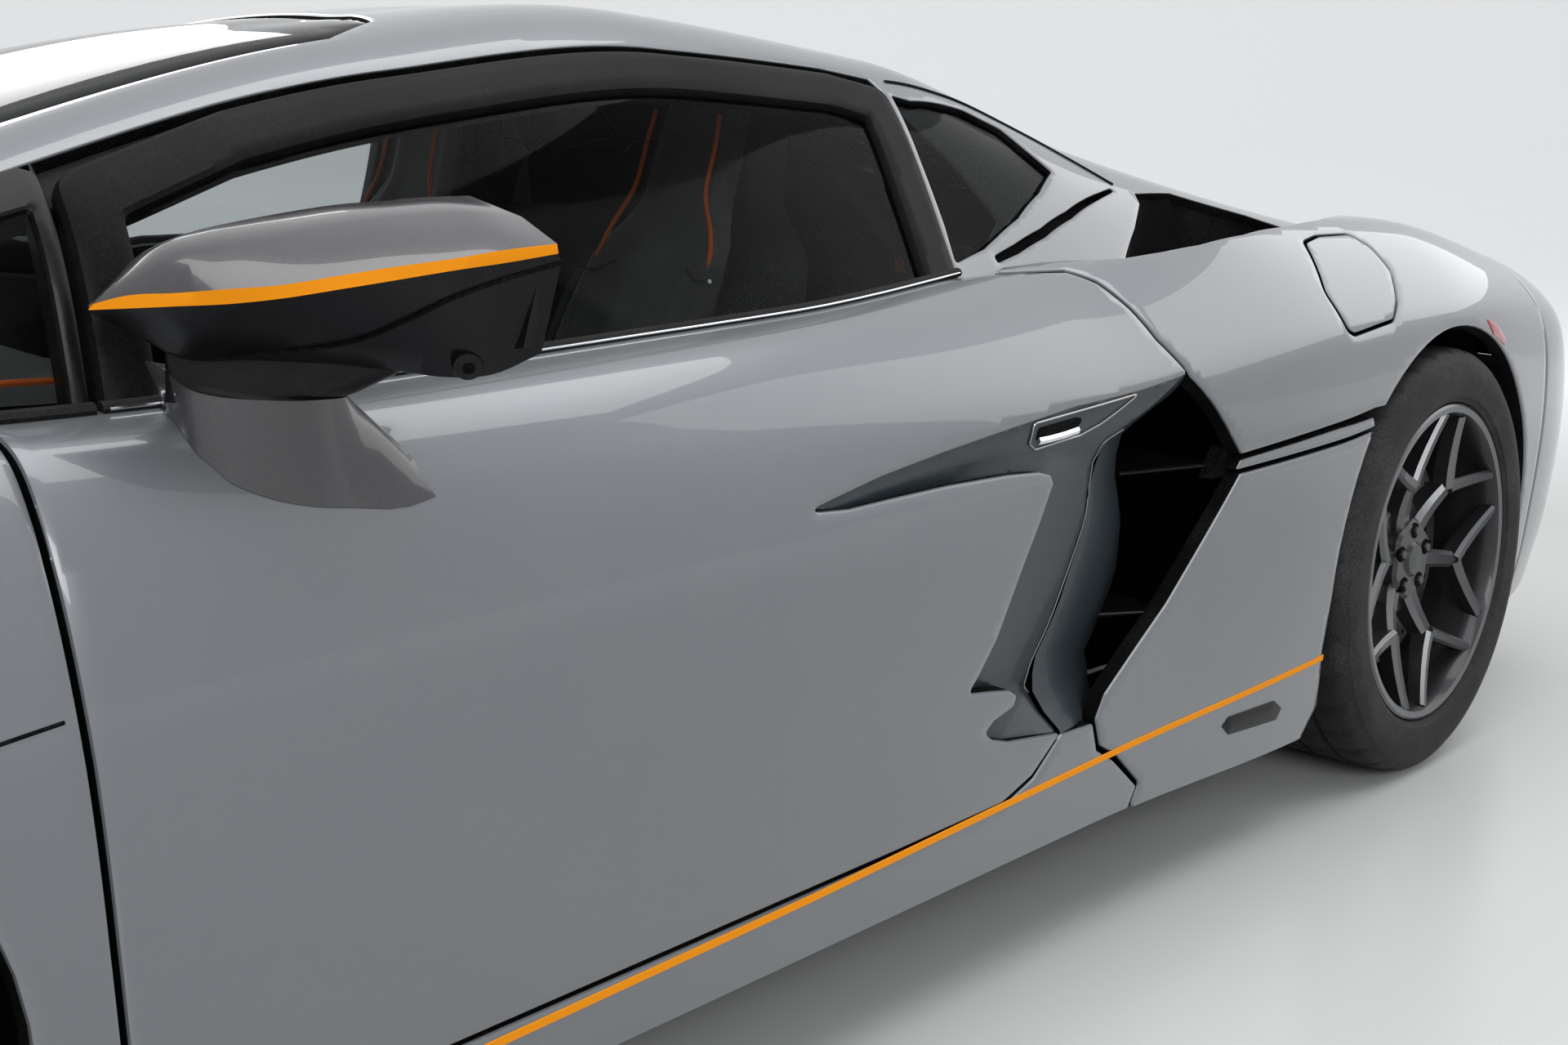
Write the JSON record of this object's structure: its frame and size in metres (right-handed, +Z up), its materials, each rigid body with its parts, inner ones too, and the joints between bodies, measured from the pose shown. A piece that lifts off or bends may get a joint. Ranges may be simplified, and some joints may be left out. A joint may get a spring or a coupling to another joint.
{
  "type": "mid-engined sports car",
  "caption": "Low two-seat mid-engined sports car with a wedge nose, scooped doors, side air intakes, forked-spoke wheels and a louvred engine lid.",
  "frame": {"origin": "on the ground under the centre of the car's box", "axes": "+X to the rear of the car, +Y to its right, +Z up"},
  "size_m": [4.706, 2.246, 1.201],
  "materials": {
    "paint": "gloss",
    "gloss_black": "gloss",
    "black_plastic": "satin",
    "glass": "tinted",
    "lamp": "clear",
    "tail_lamp": "gloss",
    "steel": "brushed",
    "interior": "matt",
    "seat": "suede",
    "engine": "cast",
    "structure": "matt",
    "arms": "forged",
    "tyre": "matt",
    "rim": "satin",
    "brake": "painted"
  },
  "bodies": {
    "chassis": {"tub": "structure", "front_frame": "structure", "rear_frame": "structure", "luggage_tray": "structure", "intake_ducts": "structure", "subframe_front": "arms", "subframe_rear": "arms", "fender_left": "paint", "fender_right": "paint", "quarter_left": "paint", "quarter_right": "paint", "side_sills": "paint", "roof_frame": "paint", "windshield": "glass", "quarter_glass": "glass", "front_bumper": "paint", "splitter": "black_plastic", "headlamps": "lamp", "rear_bumper": "paint", "diffuser": "black_plastic", "tail_lamps": "tail_lamp", "exhaust": "steel", "seat_left": "seat", "seat_right": "seat", "dashboard": "interior", "steering_wheel": "interior", "engine": "engine", "knuckle_rear_left": "brake", "knuckle_rear_right": "brake"},
    "hood": {"hood": "paint"},
    "engine_cover": {"engine_cover": "gloss_black"},
    "fuel_flap": {"fuel_flap": "paint"},
    "door_left": {"door_left": "paint", "door_glass_left": "glass", "mirror_left": "paint"},
    "upright_left": {"knuckle_front_left": "brake"},
    "wheel_front_left": {"tyre_front_left": "tyre", "rim_front_left": "rim"},
    "wheel_rear_left": {"tyre_rear_left": "tyre", "rim_rear_left": "rim"},
    "door_right": {"door_right": "paint", "door_glass_right": "glass", "mirror_right": "paint"},
    "upright_right": {"knuckle_front_right": "brake"},
    "wheel_front_right": {"tyre_front_right": "tyre", "rim_front_right": "rim"},
    "wheel_rear_right": {"tyre_rear_right": "tyre", "rim_rear_right": "rim"}
  },
  "joints": [
    {"name": "hood_hinge", "type": "hinge", "parent": "chassis", "child": "hood", "pos_m": [-1.155, 0, 0.808], "axis": [0, 1, 0], "range_deg": [0, 55]},
    {"name": "engine_cover_hinge", "type": "hinge", "parent": "chassis", "child": "engine_cover", "pos_m": [0.657, 0, 1.137], "axis": [0, -1, 0], "range_deg": [0, 50]},
    {"name": "fuel_flap_hinge", "type": "hinge", "parent": "chassis", "child": "fuel_flap", "pos_m": [1.034, -0.953, 0.814], "axis": [-0.109, -0.7192, -0.6862], "range_deg": [0, 80]},
    {"name": "door_left_hinge", "type": "hinge", "parent": "chassis", "child": "door_left", "pos_m": [-0.826, -0.976, 0.5], "axis": [0, 0, -1], "range_deg": [0, 65]},
    {"name": "steer_left", "type": "hinge", "parent": "chassis", "child": "upright_left", "pos_m": [-1.243, -0.861, 0.343], "axis": [0, 0, 1], "range_deg": [-30, 30]},
    {"name": "wheel_front_left_spin", "type": "hinge", "parent": "upright_left", "child": "wheel_front_left", "pos_m": [-1.243, -0.861, 0.343], "axis": [0, 1, 0], "continuous": true},
    {"name": "wheel_rear_left_spin", "type": "hinge", "parent": "chassis", "child": "wheel_rear_left", "pos_m": [1.415, -0.835, 0.364], "axis": [0, 1, 0], "continuous": true},
    {"name": "door_right_hinge", "type": "hinge", "parent": "chassis", "child": "door_right", "pos_m": [-0.826, 0.976, 0.5], "axis": [0, 0, 1], "range_deg": [0, 65]},
    {"name": "steer_right", "type": "hinge", "parent": "chassis", "child": "upright_right", "pos_m": [-1.243, 0.861, 0.343], "axis": [0, 0, 1], "range_deg": [-30, 30]},
    {"name": "wheel_front_right_spin", "type": "hinge", "parent": "upright_right", "child": "wheel_front_right", "pos_m": [-1.243, 0.861, 0.343], "axis": [0, 1, 0], "continuous": true},
    {"name": "wheel_rear_right_spin", "type": "hinge", "parent": "chassis", "child": "wheel_rear_right", "pos_m": [1.415, 0.835, 0.364], "axis": [0, 1, 0], "continuous": true}
  ],
  "couplings": [
    {"joint": "steer_right", "follows": "steer_left", "ratio": 1}
  ]
}
